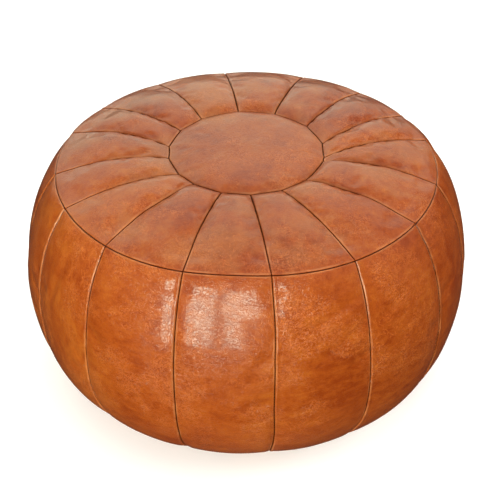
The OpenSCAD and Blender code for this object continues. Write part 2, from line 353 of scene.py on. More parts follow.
def disc_grid(ring):
    """Points of the top disc, across all the petals and out from its middle to its seam."""
    share = np.linspace(0, 1, DISC_ROWS + 1)
    flat = ring[:, None, :] * share[None, :, None]
    edge = smoothstep(DISC_R * (1 - share) / DISC_EDGE)
    dome = 0.45 * DISC_DOME * edge + 0.55 * DISC_DOME * (1 - share**2)
    flat[..., 2] = DISC_Z + dome[None, :]
    return flat


# Points of the seam network that are no further apart than this are one point
SAME_POINT = 0.02 * MM

# The simulation of the cover, pinned at its seams. No point may move by more than the cap.
SIM_FRAMES = 20
SIM_CAP = 7 * MM
SIM_CLOTH = {
    "quality": 7, "mass": 0.6, "tension_stiffness": 60, "compression_stiffness": 40,
    "shear_stiffness": 25, "bending_stiffness": 3, "air_damping": 4, "vertex_group_mass": "seams",
    "pin_stiffness": 1, "shrink_min": -0.006, "use_pressure": True, "uniform_pressure_force": 4}


class Cover:
    """The whole cover as one mesh with shared seams, and each panel's place in it."""

    def __init__(self):
        self.points = []
        self.faces = []
        self.pinned = set()
        self.seen = {}
        self.petals = [self.add(petal_grid(i)) for i in range(PANELS)]
        self.sides = [self.add(side_grid(i)) for i in range(PANELS)]
        ring = np.concatenate([self.petals[i][:-1, 0] for i in range(PANELS)])
        ring = np.append(ring, ring[0])
        self.disc = self.add(disc_grid(np.array(self.points)[ring]))
        for grid in self.petals + self.sides:
            for edge in (grid[0], grid[-1], grid[:, 0], grid[:, -1]):
                self.pinned.update(edge.tolist())

    def add(self, grid):
        """Adds a grid of points and its faces, sharing points that lie on one another."""
        index = np.zeros(grid.shape[:2], int)
        for place in np.ndindex(grid.shape[:2]):
            key = tuple(np.round(grid[place] / SAME_POINT).astype(int))
            near = [key] + [
                (key[0] + a, key[1] + b, key[2] + c)
                for a in (-1, 0, 1) for b in (-1, 0, 1) for c in (-1, 0, 1)]
            found = next((self.seen[k] for k in near if k in self.seen), None)
            if found is None:
                found = len(self.points)
                self.points.append(grid[place])
                self.seen[key] = found
            index[place] = found
        for j in range(grid.shape[0] - 1):
            for k in range(grid.shape[1] - 1):
                corners = [index[j, k], index[j + 1, k], index[j + 1, k + 1], index[j, k + 1]]
                corners = [c for n, c in enumerate(corners) if c not in corners[:n]]
                if len(corners) > 2:
                    self.faces.append(corners[::-1])
        return index

    def relax(self):
        """Blows the cover up a little inside its sewn seams, so that its leather creases as it would."""
        start = np.array(self.points)
        mesh = bpy.data.meshes.new("cover_sim")
        mesh.from_pydata(start.tolist(), [], self.faces)
        body = new_object("cover_sim", mesh)
        group = body.vertex_groups.new(name="seams")
        group.add(sorted(self.pinned), 1.0, "REPLACE")
        cloth = body.modifiers.new("leather", "CLOTH")
        for key, value in SIM_CLOTH.items():
            setattr(cloth.settings, key, value)
        cloth.settings.effector_weights.gravity = 0
        cloth.collision_settings.use_collision = False
        cloth.point_cache.frame_start = 1
        cloth.point_cache.frame_end = SIM_FRAMES
        scene = bpy.context.scene
        for step in range(1, SIM_FRAMES + 1):
            scene.frame_set(step)
        done = body.evaluated_get(bpy.context.evaluated_depsgraph_get()).to_mesh()
        moved = np.zeros(len(start) * 3)
        done.vertices.foreach_get("co", moved)
        moved = moved.reshape(-1, 3) - start
        bpy.data.objects.remove(body)
        bpy.data.meshes.remove(mesh)
        scene.frame_set(1)
        size = np.linalg.norm(moved, axis=1, keepdims=True)
        moved *= np.minimum(1, SIM_CAP / np.maximum(size, TINY))
        print("cloth moved by at most", round(float(size.max()) * 1000, 2), "mm")
        return start + moved


# -------- finished panels

# Distances from a seam at which a panel's edge has rows of points, then the depths of the edge
# that is turned in
LIP_R = 1.3 * MM
LIP_ROWS = np.array([0, 0.2, 0.5, 0.9, 1.3, 2.1, 3.2, 5.0]) * MM
TURNED_IN = np.array([1.4, 3.6]) * MM
TURNED_IN_AT_SLOT = np.array([0.8, 1.6]) * MM
HALF_GAP = 0.14 * MM
CELL = 4 * MM
NARROWEST = 0.01 * MM
SKIN = 1.6 * MM


def cubic(grid, where):
    """Values of grid along its first axis at fractional places, on a smooth curve through them."""
    last = grid.shape[0] - 1
    first = np.clip(np.floor(where).astype(int), 0, last - 1)
    shaped = (...,) + (None,) * (grid.ndim - 1)
    part = (where - first)[shaped]
    b, c = grid[first], grid[first + 1]
    a = np.where((first > 0)[shaped], grid[np.maximum(first - 1, 0)], 2 * b - c)
    d = np.where((first + 2 <= last)[shaped], grid[np.minimum(first + 2, last)], 2 * c - b)
    return b + 0.5 * part * (c - a + part * (2 * a - 5 * b + 4 * c - d + part * (3 * (b - c) + d - a)))


def places(length, count, start=True, end=True):
    """Fractions along a length: close together at its seams, and count cells between."""
    lead = LIP_ROWS if start else np.zeros(1)
    tail = LIP_ROWS if end else np.zeros(1)
    if length - lead[-1] - tail[-1] < CELL:
        squeeze = length / (lead[-1] + tail[-1] + CELL)
        lead, tail = lead * squeeze, tail * squeeze
    middle = lead[-1] + (length - lead[-1] - tail[-1]) * np.arange(1, count) / count
    at = np.concatenate([lead, middle, (length - tail)[::-1]])
    return np.clip(at, HALF_GAP if start else 0, length - (HALF_GAP if end else 0)) / length


def lip_drop(distance):
    """How far the surface sinks at a distance from its seam, on a rounded edge."""
    inside = np.clip(LIP_R - distance, 0, LIP_R)
    return LIP_R - np.sqrt(LIP_R**2 - inside**2)


def grid_normals(grid):
    """Unit normals of a grid whose first axis runs anticlockwise and second away from its start."""
    across = np.gradient(grid, axis=0)
    along = np.gradient(grid, axis=1)
    return unit(np.cross(along, across))


NO_EDGE = np.array([])


class Panel:
    """One leather panel on a fine grid, with its distances from its four edges.

    Each edge that is sewn is given as the depths of its turned-in strip.
    """

    def __init__(self, coarse, sides=TURNED_IN, top=TURNED_IN, bottom=TURNED_IN):
        self.sides, self.top, self.bottom = sides, top, bottom
        length = float(np.median(row_lengths(coarse)))
        rows = places(length, max(3, round(length / CELL)), len(top) > 0, len(bottom) > 0)
        fine = cubic(coarse.swapaxes(0, 1), rows * (coarse.shape[1] - 1))
        widths = row_lengths(fine)
        columns = max(4, round(float(widths.max()) / CELL))
        grid = []
        shares = []
        for row, width in zip(fine, widths):
            if len(sides):
                u = places(max(width, NARROWEST), columns)
            else:
                u = np.linspace(0, 1, columns + 1)
            grid.append(cubic(row, u * (coarse.shape[0] - 1)))
            shares.append(u)
        self.grid = np.array(grid).swapaxes(0, 1)
        self.u = np.array(shares).T
        self.v = np.broadcast_to(rows, self.u.shape)
        self.width = np.broadcast_to(widths, self.u.shape)
        self.length = length
        self.to_first, self.to_last = self.u * self.width, (1 - self.u) * self.width
        self.to_top, self.to_bottom = self.v * length, (1 - self.v) * length
        self.normals = grid_normals(self.grid)
        self.to_seam = np.full(self.u.shape, 1.0)
        for edge, distance in ((sides, self.to_first), (sides, self.to_last),
                (top, self.to_top), (bottom, self.to_bottom)):
            if len(edge):
                self.to_seam = np.minimum(self.to_seam, distance)

    def press(self, amount):
        """Moves the surface out along its normals by an amount at each point."""
        self.grid = self.grid + amount[..., None] * self.normals

    def finished(self, name, outward, tone, closed=False, dark_edge=1.0):
        """The panel as a closed leather shell whose edges are rounded down and turned in.

        The dark wax and painted seam shade along its seams is dark_edge times as wide as usual.
        """
        distance = self.to_seam
        grid = self.grid - lip_drop(distance - HALF_GAP)[..., None] * outward
        depth = np.zeros(distance.shape)
        for axis, start, end in ((0, self.sides, self.sides), (1, self.top, self.bottom)):
            steps = np.concatenate([start[::-1], np.zeros(depth.shape[axis]), end])
            grid, distance, outward, depth = (
                turned_in(a, axis, len(start), len(end)) for a in (grid, distance, outward, depth))
            depth = np.maximum(depth, np.expand_dims(steps, 1 - axis))
        grid = grid - depth[..., None] * outward
        return sheet_piece(name, grid, SKIN, closed, seam_mm=distance / MM / dark_edge, tone=tone)


def turned_in(values, axis, at_start, at_end):
    """Repeats the first and last rows of values, for the leather that is turned in."""
    values = np.moveaxis(values, axis, 0)
    parts = [values[:1]] * at_start + [values] + [values[-1:]] * at_end
    return np.moveaxis(np.concatenate(parts), 0, axis)


# Vertices of a finished piece, or of a part taken from the CAD, that are one vertex
SAME_VERTEX = 0.004 * MM
SAME_CAD_VERTEX = 0.001 * MM


def sheet_piece(name, grid, thickness, closed=False, **attributes):
    """A mesh object from a grid, given a thickness, with the named values at its points."""
    columns, rows = grid.shape[:2]
    index = np.arange(columns * rows).reshape(columns, rows)
    if closed:
        index[-1] = index[0]
    quads = stacked(index[:-1, :-1], index[:-1, 1:], index[1:, 1:], index[1:, :-1])
    work = bmesh.new()
    layers = [work.verts.layers.float.new(key) for key in attributes]
    values = [np.broadcast_to(value, grid.shape[:2]).reshape(-1) for value in attributes.values()]
    for k, point in enumerate(grid.reshape(-1, 3)):
        vert = work.verts.new(point)
        for layer, value in zip(layers, values):
            vert[layer] = value[k]
    work.verts.ensure_lookup_table()
    for quad in quads.reshape(-1, 4):
        corners = list(dict.fromkeys(quad.tolist()))
        if len(corners) > 2:
            work.faces.new([work.verts[c] for c in corners])
    bmesh.ops.remove_doubles(work, verts=work.verts, dist=SAME_VERTEX)
    loose = [v for v in work.verts if not v.link_faces]
    bmesh.ops.delete(work, geom=loose, context="VERTS")
    piece = object_from(work, name)
    if thickness:
        thicken(piece, thickness)
    smooth(piece)
    return piece


def object_from(work, name):
    """Turns a bmesh into an object of the scene."""
    mesh = bpy.data.meshes.new(name)
    work.to_mesh(mesh)
    work.free()
    return new_object(name, mesh)


def apply_modifiers(piece):
    """Writes a piece's modifiers into its mesh."""
    evaluated = piece.evaluated_get(bpy.context.evaluated_depsgraph_get())
    mesh = bpy.data.meshes.new_from_object(evaluated)
    old = piece.data
    piece.modifiers.clear()
    piece.data = mesh
    bpy.data.meshes.remove(old)


def thicken(piece, thickness):
    solid = piece.modifiers.new("thickness", "SOLIDIFY")
    solid.thickness = thickness
    solid.offset = -1
    bpy.context.view_layer.update()
    apply_modifiers(piece)


def smooth(piece):
    piece.data.polygons.foreach_set("use_smooth", [True] * len(piece.data.polygons))


def mount_piece(piece, node, body="cover"):
    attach(piece, body)
    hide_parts(node)
    return piece


def lumps(grid):
    """Broad unevenness of a hand-stuffed pouf."""
    return 0.9 * MM * layered(grid, 85 * MM, SEED_LUMPS, 2)


def seam_puckers(panel, seed, size):
    """Short ripples that run away from a seam and die out within about 12 mm."""
    ripple = field(panel.grid, 9 * MM, seed) + 0.6 * field(panel.grid, 5 * MM, seed + 1)
    fade = np.exp(-panel.to_seam / (9 * MM)) * smoothstep(panel.to_seam / LIP_R)
    return size * ripple * fade


# Share of a side panel's length, at either end, over which its way out eases to its seam's
EASE_AT_ENDS = 0.06


def top_outward(grid, near_rim):
    """The way out at a top panel's seams, easing to the rim's own direction near the rim."""
    normal = top_normal(np.clip(radius_of(grid), DISC_R, RIM_R))
    mixed = unit(normal + near_rim[..., None] * (RIM_OUT - normal))
    return around(mixed[..., 0], mixed[..., 1], angle_of(grid))


def side_outward(grid, v):
    """The same for a side panel, at v from rim to foot along its length."""
    t = np.interp(v, np.linspace(0, 1, 200), even_places(200))
    normal = side_curve(t)[1]
    rim, foot = (smoothstep(1 - end / EASE_AT_ENDS)[..., None] for end in (v, 1 - v))
    mixed = unit(normal + rim * (RIM_OUT - normal) + foot * (FOOT_OUT - normal))
    return around(mixed[..., 0], mixed[..., 1], angle_of(grid))


# How light each petal is. A side panel has the tone of the petal that is SIDE_SHIFT further round.
TONES = [0.05, -0.3, -0.25, -0.05, 0.35, -0.3, 0.1, 0.0, -0.2, 0.32, -0.1, 0.15, -0.1, 0.32, 0.32, -0.15]
SIDE_SHIFT = 5

# The petals at the back and the left, whose outer ends are creased the most
BACK_PETALS = range(3, 10)
BACK_FEATHER = 0.24 * MM
FRONT_FEATHER = 0.16 * MM

# The ridges over the turned-in edges: their heights, and how far they lie from the seam
SIDE_WELT = 1.25 * MM
PETAL_WELT = 0.4 * MM
DISC_WELT = 0.5 * MM
WELT_MIDDLE = 2.5 * MM
WELT_HALF = 1.7 * MM

# Heights of the ripples at the seams, and the distance over which panels are calm beside a seam
PETAL_PUCKERS = 0.16 * MM
SIDE_PUCKERS = 0.35 * MM
DISC_PUCKERS = 0.3 * MM
CALM = 12 * MM


def make_petal(i, coarse):
    panel = Panel(coarse)
    panel.press(lumps(panel.grid) * smoothstep(panel.to_seam / CALM))
    panel.press(seam_puckers(panel, SEED_PETAL_PUCKERS + i, PETAL_PUCKERS))
    size = BACK_FEATHER if i in BACK_PETALS else FRONT_FEATHER
    panel.press(feathering(panel, SEED_FEATHERING + i, size))
    for edge in (panel.to_first, panel.to_last, panel.to_bottom):
        panel.press(welt(edge, PETAL_WELT))
    near_rim = smoothstep(1 - panel.to_bottom / (22 * MM))
    outward = top_outward(panel.grid, near_rim)
    name = f"top_petal_{i + 1:02d}"
    piece = panel.finished(f"leather_{name}", outward, TONES[i], dark_edge=1.15)
    return mount_piece(piece, name)


def feathering(panel, seed, size):
    """Fine crossing wrinkles over the outer end of a petal, where its leather turns down."""
    across, out = panel.to_first, panel.to_bottom
    slant, counter = (
        stacked(across / (long * MM), (out + lean * across) / (short * MM), layer)
        for long, short, lean, layer in ((60, 9, 0.22, 0.0), (40, 7, -0.45, 1.0)))
    outer_end = smoothstep((panel.v - 0.2) / 0.45) * smoothstep(panel.to_bottom / (5 * MM))
    edges = smoothstep(panel.to_seam / (6 * MM))
    return size * (field(slant, 1.0, seed) + 0.6 * field(counter, 1.0, seed + 1)) * outer_end * edges


def make_side(i, coarse):
    panel = Panel(coarse)
    calm = smoothstep(panel.to_seam / CALM)
    panel.press(lumps(panel.grid) * calm)
    panel.press(seam_puckers(panel, SEED_SIDE_PUCKERS + i, SIDE_PUCKERS))
    unevenness = 0.75 + 0.35 * field(panel.grid, 13 * MM, SEED_WELT)
    if welt_follows(i):
        panel.press(welt(panel.to_first, SIDE_WELT) * unevenness)
    if not welt_follows(i + 1):
        panel.press(welt(panel.to_last, SIDE_WELT) * unevenness)
    panel.press(folds(panel, SIDE_FOLDS.get(i, [])) * smoothstep(panel.to_seam / (5 * MM)))
    name = f"side_panel_{i + 1:02d}"
    outward = side_outward(panel.grid, panel.v)
    piece = panel.finished(f"leather_{name}", outward, TONES[(i + SIDE_SHIFT) % PANELS])
    return mount_piece(piece, name)


def welt(distance, height):
    """The low ridge beside a seam, over the edge that is turned in under the leather."""
    return height * np.exp(-((distance - WELT_MIDDLE) / WELT_HALF)**2)


def welt_follows(i):
    """True where side seam i has its welt on the panel that follows it, and not on the one before."""
    return math.cos(RIM[i % PANELS]) > 0


# Soft creases that show on single side panels. Each is: place across and down the panel, direction
# in degrees from level, and half length, half width and depth in millimetres.
SIDE_FOLDS = {
    3: [(0.5, 0.2, 15, 45, 8, 1.2)],
    6: [(0.6, 0.25, -20, 45, 9, 1.2)],
    9: [(0.45, 0.22, 74, 50, 9, 1.0)],
    10: [(0.93, 0.085, -18, 34, 5, 0.9), (0.76, 0.055, -10, 40, 5, 1.2)],
    11: [(0.13, 0.07, 8, 26, 5, 0.6), (0.97, 0.27, 54, 75, 15, 0.8), (0.72, 0.11, 6, 40, 7, 0.5)],
    12: [(0.55, 0.17, 22, 50, 9, 1.5), (0.70, 0.27, 30, 42, 9, 1.3), (0.28, 0.12, -14, 30, 7, 1.0)],
    13: [(0.30, 0.20, 24, 34, 8, 1.0)],
}


def folds(panel, listed):
    """Valleys with a low bank on either side, along short lines on the panel."""
    total = np.zeros(panel.u.shape)
    for across, down, slope, half_length, half_width, depth in listed:
        x = (panel.u - across) * panel.width
        y = (down - panel.v) * panel.length
        angle = math.radians(slope)
        along = x * math.cos(angle) + y * math.sin(angle)
        off = (y * math.cos(angle) - x * math.sin(angle)) / (half_width * MM)
        reach = np.exp(-(along / (half_length * MM))**4)
        total += depth * MM * reach * (1.5 * off**2 - 1) * np.exp(-off**2)
    return total


UP = np.array([0.0, 0.0, 1.0])


def make_disc(coarse):
    panel = Panel(coarse, sides=NO_EDGE, top=NO_EDGE)
    panel.normals = np.broadcast_to(UP, panel.grid.shape)
    panel.press(lumps(panel.grid) * smoothstep(panel.to_bottom / CALM))
    panel.press(seam_puckers(panel, SEED_DISC_PUCKERS, DISC_PUCKERS))
    panel.press(welt(panel.to_bottom, DISC_WELT))
    outward = np.broadcast_to(UP, panel.grid.shape)
    piece = panel.finished("leather_top_disc", outward, 0.1, closed=True, dark_edge=1.05)
    return mount_piece(piece, "top_disc")


def make_cover():
    cover = Cover()
    points = cover.relax()
    pieces = [make_disc(points[cover.disc])]
    pieces += [make_petal(i, points[cover.petals[i]]) for i in range(PANELS)]
    pieces += [make_side(i, points[cover.sides[i]]) for i in range(PANELS)]
    return pieces


# -------- base

BASE_COLUMNS = 190
BASE_ROWS = 60


def pan_rise(x, y, height, grow=0.0):
    """Height at x, y of the pan that is pushed up into the base, widened by grow."""
    rise = height
    for at, floor, slope in zip((x, y), PAN_FLOOR, PAN_SLOPE):
        rise = rise * smoothstep((floor + grow + slope - np.abs(at)) / slope)
    return rise


def slot_edge(x):
    """How far the base's inner edge lies from its middle line: apart at the slot, and shut beyond it."""
    return HALF_GAP + (SLOT_Y - HALF_GAP) * smoothstep((SLOT_X + 3 * MM - np.abs(x)) / (6 * MM))


def make_base(side, name):
    """One half of the base, on the side of the zip that side, -1 or 1, says."""
    sweep = np.linspace(0, math.pi, BASE_COLUMNS + 1)[::-side]
    outer = FOOT_R * np.sin(sweep)
    inner = np.minimum(slot_edge(FOOT_R * np.cos(sweep)), outer)
    share = np.linspace(0, 1, BASE_ROWS + 1)
    y = inner[:, None] + share * (outer - inner)[:, None]
    x = FOOT_R * np.cos(sweep)[:, None]
    turned_up = smoothstep(1 - (FOOT_R - np.hypot(x, y)) / (10 * MM))
    z = BASE_LIFT + pan_rise(x, y, RECESS) + (FOOT_Z - BASE_LIFT) * turned_up
    panel = Panel(stacked(x, side * y, z), sides=NO_EDGE, top=TURNED_IN_AT_SLOT)
    panel.normals = np.broadcast_to(-UP, panel.grid.shape)
    calm = smoothstep(panel.to_seam / (15 * MM))
    panel.press(0.33 * MM * layered(panel.grid, 45 * MM, SEED_BASE + side, 2) * calm / 1.5)
    foot = smoothstep(1 - panel.to_bottom / (12 * MM))[..., None]
    outward = unit((1 - foot) * -UP + foot * around(*FOOT_OUT, angle_of(panel.grid)))
    return mount_piece(panel.finished(f"leather_{name}", outward, 0.2 * side), name)


# -------- threads

THREAD_R = 0.35 * MM
STITCH = 4 * MM
STITCH_HALF = SKIN + 0.5 * MM
STITCH_DEPTH = 3.6 * MM
SEAM_SAMPLES = 60


class Tubes:
    """Thin round threads, gathered into one mesh."""

    AROUND = 6

    def __init__(self):
        self.points = []
        self.faces = []
        self.along = []

    def add(self, path, up, radius):
        """Adds a thread along a path; up is roughly square to it at each point."""
        heading = unit(np.gradient(path, axis=0))
        side = unit(np.cross(heading, up))
        other = np.cross(side, heading)
        angle = 2 * math.pi * np.arange(self.AROUND)[:, None] / self.AROUND
        rings = path[:, None] + radius * (
            np.cos(angle) * side[:, None] + np.sin(angle) * other[:, None])
        index = len(self.points) + np.arange(len(path) * self.AROUND).reshape(-1, self.AROUND)
        beside = np.roll(index, -1, axis=1)
        quads = stacked(index[:-1], beside[:-1], beside[1:], index[1:])
        self.points.extend(rings.reshape(-1, 3).tolist())
        self.faces.extend(quads.reshape(-1, 4).tolist())
        self.faces.extend([index[0][::-1].tolist(), index[-1].tolist()])
        self.along.extend(np.repeat(run_along(path) / MM, self.AROUND).tolist())

    def piece(self, name):
        mesh = bpy.data.meshes.new(name)
        mesh.from_pydata(self.points, [], self.faces)
        mesh.attributes.new("along_mm", "FLOAT", "POINT").data.foreach_set("value", self.along)
        piece = new_object(name, mesh)
        smooth(piece)
        return piece


def resampled(values, run, step):
    """What varies along a seam, at places about a step apart; run says how far along each value is."""
    at = np.linspace(0, run[-1], max(2, round(run[-1] / step)) + 1)
    return stacked(*(np.interp(at, run, part) for part in values.T))


def sew(tubes, path, outward):
    """A seam's stitches, which pass to and fro through both of its turned-in edges."""
    run = run_along(path)
    path, outward = (resampled(values, run, STITCH / 4) for values in (path, outward))
    sideways = unit(np.cross(np.gradient(path, axis=0), outward))
    swing = np.where(np.arange(len(path)) % 8 < 4, STITCH_HALF, -STITCH_HALF)
    tubes.add(path - STITCH_DEPTH * outward + swing[:, None] * sideways, outward, THREAD_R)


def ring(radius, height, outward):
    """A seam that runs right round, with its way out as radial and vertical parts."""
    angle = np.linspace(0, 2 * math.pi, 8 * SEAM_SAMPLES)
    return settled(around(radius, height, angle)), around(*outward, angle)


def petal_seam_line(i):
    share = np.linspace(0.03, 0.96, SEAM_SAMPLES)
    radius, angle = top_seam(i, share)
    normal = top_normal(radius)
    return settled(around(radius, seam_height(radius), angle)), around(*normal.T, angle)


def side_seam_line(i):
    t = np.linspace(0.02, 0.97, SEAM_SAMPLES)
    point, normal = side_curve(t)
    sunk = point - SIDE_SEAM_SINK * normal
    angle = side_seam(i, t)
    return settled(around(*sunk.T, angle)), around(*normal.T, angle)


ZIP_STITCH_Y = SLOT_Y + 4 * MM


def sew_zip(tubes):
    """Running stitches beside the zip, outside the leather and inside the tape."""
    x = np.linspace(-SLOT_X, SLOT_X, 6 * round(2 * SLOT_X / STITCH) + 1)
    arch = np.abs(np.sin(math.pi * (x + SLOT_X) / STITCH)) ** 0.6
    for y in (-ZIP_STITCH_Y, ZIP_STITCH_Y):
        for face, way in ((RECESS + BASE_LIFT, -1), (TAPE_HIGH, 1)):
            z = face + way * (0.9 * arch - 0.45) * MM
            path = stacked(x, y, z)
            tubes.add(path, np.broadcast_to(UP, path.shape), THREAD_R)


def make_threads():
    seams = {
        "thread_top_disc": [ring(DISC_R, DISC_Z, (0.0, 1.0))],
        "thread_petals": [petal_seam_line(i) for i in range(PANELS)],
        "thread_rim": [ring(RIM_R, RIM_Z, RIM_OUT)],
        "thread_sides": [side_seam_line(i) for i in range(PANELS)],
        "thread_base": [ring(FOOT_R, FOOT_Z, FOOT_OUT)],
    }
    threads = {node: Tubes() for node in (*seams, "thread_zip")}
    for node, lines in seams.items():
        for path, outward in lines:
            sew(threads[node], path, outward)
    sew_zip(threads["thread_zip"])
    return [mount_piece(tubes.piece(f"stitches_{node}"), node)
        for node, tubes in threads.items()]


# -------- zip

# The tape's ribs, and the shares of its half width and half length over which its edges are round
TAPE_RIBS = 9
RIB_DEPTH = 0.09
ROUND_EDGE = 0.06
ROUND_END = 0.003


def rounded(share, radius):
    """Thickness of a round-edged sheet, from 1 down to 0 where share reaches 1."""
    past = (np.abs(share) - (1 - radius)).clip(0)
    return np.sqrt(np.clip(1 - past**2 / radius**2, 0, 1))


def make_tape(side, name):
    """A woven tape with low ribs along it and rounded edges, on one side of the zip."""
    x = np.linspace(-TAPE_END, TAPE_END, 150)
    across = np.linspace(0, 1, 41)
    y = side * (TAPE_INNER + across * (TAPE_OUTER - TAPE_INNER))
    rib = 1 - RIB_DEPTH * np.abs(np.sin(across * TAPE_RIBS * math.pi))
    thick = np.outer(rounded(x / TAPE_END, ROUND_END), rounded(2 * across - 1, ROUND_EDGE) * rib)
    thick = (TAPE_HIGH - TAPE_LOW) / 2 * thick
    upper, lower = (
        stacked(x[:, None], y, (TAPE_LOW + TAPE_HIGH) / 2 + way * thick) for way in (1, -1))
    loop = np.concatenate([upper, lower[:, -2:0:-1], upper[:, :1]], axis=1)
    piece = sheet_piece(f"woven_{name}", loop, 0)
    return mount_piece(tidy_normals(piece), name)


def tidy_normals(piece):
    """Turns a closed mesh's faces outward."""
    work = bmesh.new()
    work.from_mesh(piece.data)
    bmesh.ops.recalc_face_normals(work, faces=work.faces)
    work.to_mesh(piece.data)
    work.free()
    return piece


def softened(node, width, body):
    """A metal part with the design's own shape, and with its sharp edges rounded off."""
    work = bmesh.new()
    work.from_mesh(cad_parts[node].data)
    bmesh.ops.remove_doubles(work, verts=work.verts, dist=SAME_CAD_VERTEX)
    bmesh.ops.dissolve_limit(
        work, angle_limit=math.radians(1), verts=work.verts, edges=work.edges)
    corners = [e for e in work.edges if e.is_manifold and e.calc_face_angle() > math.radians(30)]
    bmesh.ops.bevel(work, geom=corners, offset=width, segments=2, profile=0.55, affect="EDGES",
        clamp_overlap=True)
    return mount_piece(object_from(work, f"metal_{node}"), node, body)


# Each metal part of the zip, with the width of its rounded edges in millimetres and its body
METAL = [
    ("zip_teeth_front", 0.22, "cover"), ("zip_teeth_rear", 0.22, "cover"),
    ("zip_top_stops", 0.35, "cover"), ("zip_bottom_stop", 0.35, "cover"),
    ("zip_slider", 0.3, "slider"), ("zip_pull", 0.35, "pull")]


def make_zip():
    tapes = [make_tape(-1, "zip_tape_front"), make_tape(1, "zip_tape_rear")]
    return tapes, [softened(node, width * MM, body) for node, width, body in METAL]


# -------- inside

BAG_DEPTH = 7.2 * MM
BAG_T = 0.8 * MM
BAG_LOW = 5.8 * MM
BAG_LIFT = 12.2 * MM
FILL_DEPTH = BAG_DEPTH + 2.2 * MM
BAG_COLUMNS = 220


def under_top(radius, depth):
    """Height of a surface that lies a depth under the top, at a radius."""
    dome = 0.5 * DISC_DOME * (1 - (np.minimum(radius, DISC_R) / DISC_R)**2)
    return np.where(radius < DISC_R, DISC_Z + dome, seam_height(radius)) - depth


def gathers(points, seam_distance, seed):
    """Soft creases of calico that run away from a seam."""
    where = around(1.0, 0.0, angle_of(points))
    near = np.exp(-seam_distance / (22 * MM))
    return 1.1 * MM * field(where, 0.035, seed) * near + 0.5 * MM * layered(points, 50 * MM, seed + 1)


def bag_piece(name, grid, run):
    """A calico piece; run is how far along its second axis each point lies."""
    across = angle_of(grid) * radius_of(grid)
    piece = sheet_piece(
        f"calico_{name}", grid, BAG_T, closed=True, across_mm=across / MM, along_mm=run / MM)
    return mount_piece(piece, name)


def make_bag():
    angle = np.linspace(0, 2 * math.pi, BAG_COLUMNS + 1)[:, None]
    radius = np.linspace(0, RIM_R - 5 * MM, 48)
    top = around(radius, under_top(radius, BAG_DEPTH), angle)
    top[..., 2] -= np.abs(gathers(top, radius[-1] - radius, SEED_BAG_TOP))

    t = even_places(74)[1:-2]
    point, normal = side_curve(t)
    inner = point - (BAG_DEPTH + 0.3 * MM) * normal
    side = around(*inner.T, angle)
    run = run_along(inner)
    creases = np.abs(gathers(side, np.minimum(run, run[-1] - run), SEED_BAG_SIDE))
    side = side - creases[..., None] * around(*normal.T, angle)

    radius_low = np.linspace(0, FOOT_R - 10 * MM, 70)
    base = around(radius_low, BAG_LOW, angle)
    base[..., 2] += pan_rise(base[..., 0], base[..., 1], BAG_LIFT, 8 * MM)
    base[..., 2] += np.abs(gathers(base, radius_low[-1] - radius_low, SEED_BAG_BASE))
    base = base[::-1]
    return [bag_piece("inner_bag_top", top, radius), bag_piece("inner_bag_side", side, run),
        bag_piece("inner_bag_base", base, radius_low)]


def make_filling():
    """The wadding: one soft lumpy body that fills the bag."""
    angle = np.linspace(0, 2 * math.pi, BAG_COLUMNS + 1)[:, None]
    radius = np.linspace(0, RIM_R - 14 * MM, 44)
    point, normal = side_curve(even_places(70)[3:-6])
    wall = point - FILL_DEPTH * normal
    floor = np.linspace(wall[-1, 0] - 6 * MM, 0, 40)
    low = BAG_LOW + BAG_T + 1.2 * MM
    outline = np.concatenate([
        stacked(radius, under_top(radius, FILL_DEPTH)), wall, stacked(floor, low)])
    body = around(*outline.T, angle)
    inward = unit(np.array([0, 0, 0.5 * RIM_Z]) - body)
    lumpy = 1.4 * MM * (1 + layered(body, 30 * MM, SEED_WADDING, 3) / 1.75)
    body = body + lumpy[..., None] * inward
    on_floor = len(radius) + len(wall)
    below = body[:, on_floor:]
    below[..., 2] += pan_rise(below[..., 0], below[..., 1], BAG_LIFT, 10 * MM)
    piece = sheet_piece("wadding_filling", body, 0, closed=True)
    mount_piece(tidy_normals(piece), "filling")
    return piece


# -------- materials

